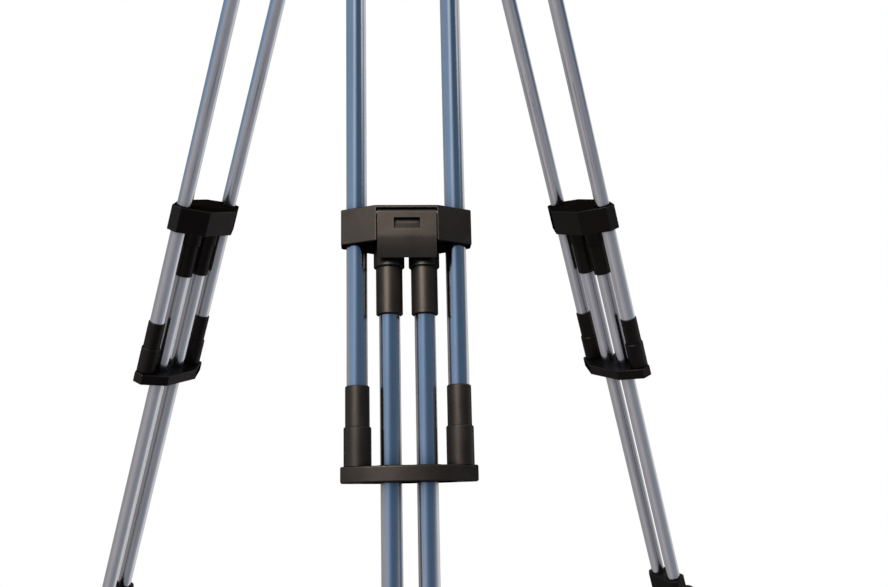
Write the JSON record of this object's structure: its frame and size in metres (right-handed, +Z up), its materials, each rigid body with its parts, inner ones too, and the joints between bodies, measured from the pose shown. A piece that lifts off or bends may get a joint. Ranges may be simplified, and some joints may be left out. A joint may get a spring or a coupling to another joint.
{
  "type": "surveyor tripod",
  "caption": "Telescoping surveying tripod with twin-tube legs, cam-lever clamp collars, pointed feet and a flat head with a centring arm and a captive fixing screw.",
  "frame": {"origin": "middle of the head's top face, on the axis of the fixing screw at rest", "axes": "+Z up, along the fixing screw; leg 1 points to -Y, legs 2 and 3 follow every 120 degrees anticlockwise seen from above"},
  "size_m": [1.0608, 0.9229, 1.6068],
  "materials": {
    "tube_metal": "polished, bluish clear-anodised tube",
    "black_plastic": "matte moulded black with fine grain",
    "cast_black": "matte black powder coat on an aluminium casting",
    "nylon": "black nylon",
    "head_alloy": "matte dark grey paint on cast aluminium",
    "steel": "zinc-plated, satin",
    "brass": "machined",
    "rubber": "matte friction pad"
  },
  "bodies": {
    "head": {"head_plate": "head_alloy", "hinge_bolts": "steel", "hinge_nuts": "steel", "hinge_washers": "nylon", "arm_screw": "steel"},
    "arm": {"centring_arm": "head_alloy"},
    "slider": {"screw_slider": "steel"},
    "clip": {"screw_clip": "steel"},
    "screw": {"fixing_screw": "brass", "screw_knob": "black_plastic", "plumb_hook": "steel"},
    "upper_leg_1": {"hinge_block_1": "cast_black", "upper_tubes_1": "tube_metal", "tube_sockets_1": "black_plastic", "lower_plate_1": "black_plastic", "plate_bushes_1": "nylon", "plate_screws_1": "steel"},
    "lower_leg_1": {"collar_block_1": "black_plastic", "collar_bushes_1": "nylon", "tube_sleeves_1": "black_plastic", "lower_tubes_1": "tube_metal", "lever_pin_1": "steel", "foot_block_1": "cast_black", "foot_spike_1": "steel"},
    "lever_1": {"clamp_lever_1": "black_plastic"},
    "jaw_1": {"clamp_jaw_1": "steel", "clamp_pads_1": "rubber"},
    "upper_leg_2": {"hinge_block_2": "cast_black", "upper_tubes_2": "tube_metal", "tube_sockets_2": "black_plastic", "lower_plate_2": "black_plastic", "plate_bushes_2": "nylon", "plate_screws_2": "steel"},
    "lower_leg_2": {"collar_block_2": "black_plastic", "collar_bushes_2": "nylon", "tube_sleeves_2": "black_plastic", "lower_tubes_2": "tube_metal", "lever_pin_2": "steel", "foot_block_2": "cast_black", "foot_spike_2": "steel"},
    "lever_2": {"clamp_lever_2": "black_plastic"},
    "jaw_2": {"clamp_jaw_2": "steel", "clamp_pads_2": "rubber"},
    "upper_leg_3": {"hinge_block_3": "cast_black", "upper_tubes_3": "tube_metal", "tube_sockets_3": "black_plastic", "lower_plate_3": "black_plastic", "plate_bushes_3": "nylon", "plate_screws_3": "steel"},
    "lower_leg_3": {"collar_block_3": "black_plastic", "collar_bushes_3": "nylon", "tube_sleeves_3": "black_plastic", "lower_tubes_3": "tube_metal", "lever_pin_3": "steel", "foot_block_3": "cast_black", "foot_spike_3": "steel"},
    "lever_3": {"clamp_lever_3": "black_plastic"},
    "jaw_3": {"clamp_jaw_3": "steel", "clamp_pads_3": "rubber"}
  },
  "joints": [
    {"name": "leg_hinge_1", "type": "hinge", "parent": "head", "child": "upper_leg_1", "pos_m": [0, -0.075, -0.036], "axis": [-1, 0, 0], "range_deg": [-18.1, 16.9]},
    {"name": "leg_slide_1", "type": "slide", "parent": "upper_leg_1", "child": "lower_leg_1", "axis": [0, -0.3107, -0.9505], "range_m": [-0.385, 0.146]},
    {"name": "lever_hinge_1", "type": "hinge", "parent": "lower_leg_1", "child": "lever_1", "pos_m": [0, -0.35825, -0.82536], "axis": [-1, 0, 0], "range_deg": [0, 90]},
    {"name": "jaw_slide_1", "type": "slide", "parent": "lower_leg_1", "child": "jaw_1", "axis": [0, -0.9505, 0.3107], "range_m": [0, 0.0006]},
    {"name": "leg_hinge_2", "type": "hinge", "parent": "head", "child": "upper_leg_2", "pos_m": [0.06495, 0.0375, -0.036], "axis": [0.5, -0.866, 0], "range_deg": [-18.1, 16.9]},
    {"name": "leg_slide_2", "type": "slide", "parent": "upper_leg_2", "child": "lower_leg_2", "axis": [0.2691, 0.1553, -0.9505], "range_m": [-0.385, 0.146]},
    {"name": "lever_hinge_2", "type": "hinge", "parent": "lower_leg_2", "child": "lever_2", "pos_m": [0.31026, 0.17913, -0.82536], "axis": [0.5, -0.866, 0], "range_deg": [0, 90]},
    {"name": "jaw_slide_2", "type": "slide", "parent": "lower_leg_2", "child": "jaw_2", "axis": [0.8232, 0.4753, 0.3107], "range_m": [0, 0.0006]},
    {"name": "leg_hinge_3", "type": "hinge", "parent": "head", "child": "upper_leg_3", "pos_m": [-0.06495, 0.0375, -0.036], "axis": [0.5, 0.866, 0], "range_deg": [-18.1, 16.9]},
    {"name": "leg_slide_3", "type": "slide", "parent": "upper_leg_3", "child": "lower_leg_3", "axis": [-0.2691, 0.1553, -0.9505], "range_m": [-0.385, 0.146]},
    {"name": "lever_hinge_3", "type": "hinge", "parent": "lower_leg_3", "child": "lever_3", "pos_m": [-0.31026, 0.17913, -0.82536], "axis": [0.5, 0.866, 0], "range_deg": [0, 90]},
    {"name": "jaw_slide_3", "type": "slide", "parent": "lower_leg_3", "child": "jaw_3", "axis": [-0.8232, 0.4753, 0.3107], "range_m": [0, 0.0006]},
    {"name": "arm_swing", "type": "hinge", "parent": "head", "child": "arm", "pos_m": [0, 0.062, -0.022], "axis": [0, 0, 1], "range_deg": [-12, 12]},
    {"name": "screw_shift", "type": "slide", "parent": "arm", "child": "slider", "axis": [0, 1, 0], "range_m": [-0.016, 0.016]},
    {"name": "screw_lift", "type": "slide", "parent": "slider", "child": "clip", "axis": [0, 0, 1], "range_m": [-0.015, 0]},
    {"name": "screw_turn", "type": "hinge", "parent": "clip", "child": "screw", "pos_m": [0, 0, -0.03], "axis": [0, 0, 1], "continuous": true}
  ],
  "couplings": [
    {"joint": "jaw_slide_1", "follows": "lever_hinge_1", "m_per_rad": 0.00038197},
    {"joint": "jaw_slide_2", "follows": "lever_hinge_2", "m_per_rad": 0.00038197},
    {"joint": "jaw_slide_3", "follows": "lever_hinge_3", "m_per_rad": 0.00038197}
  ]
}
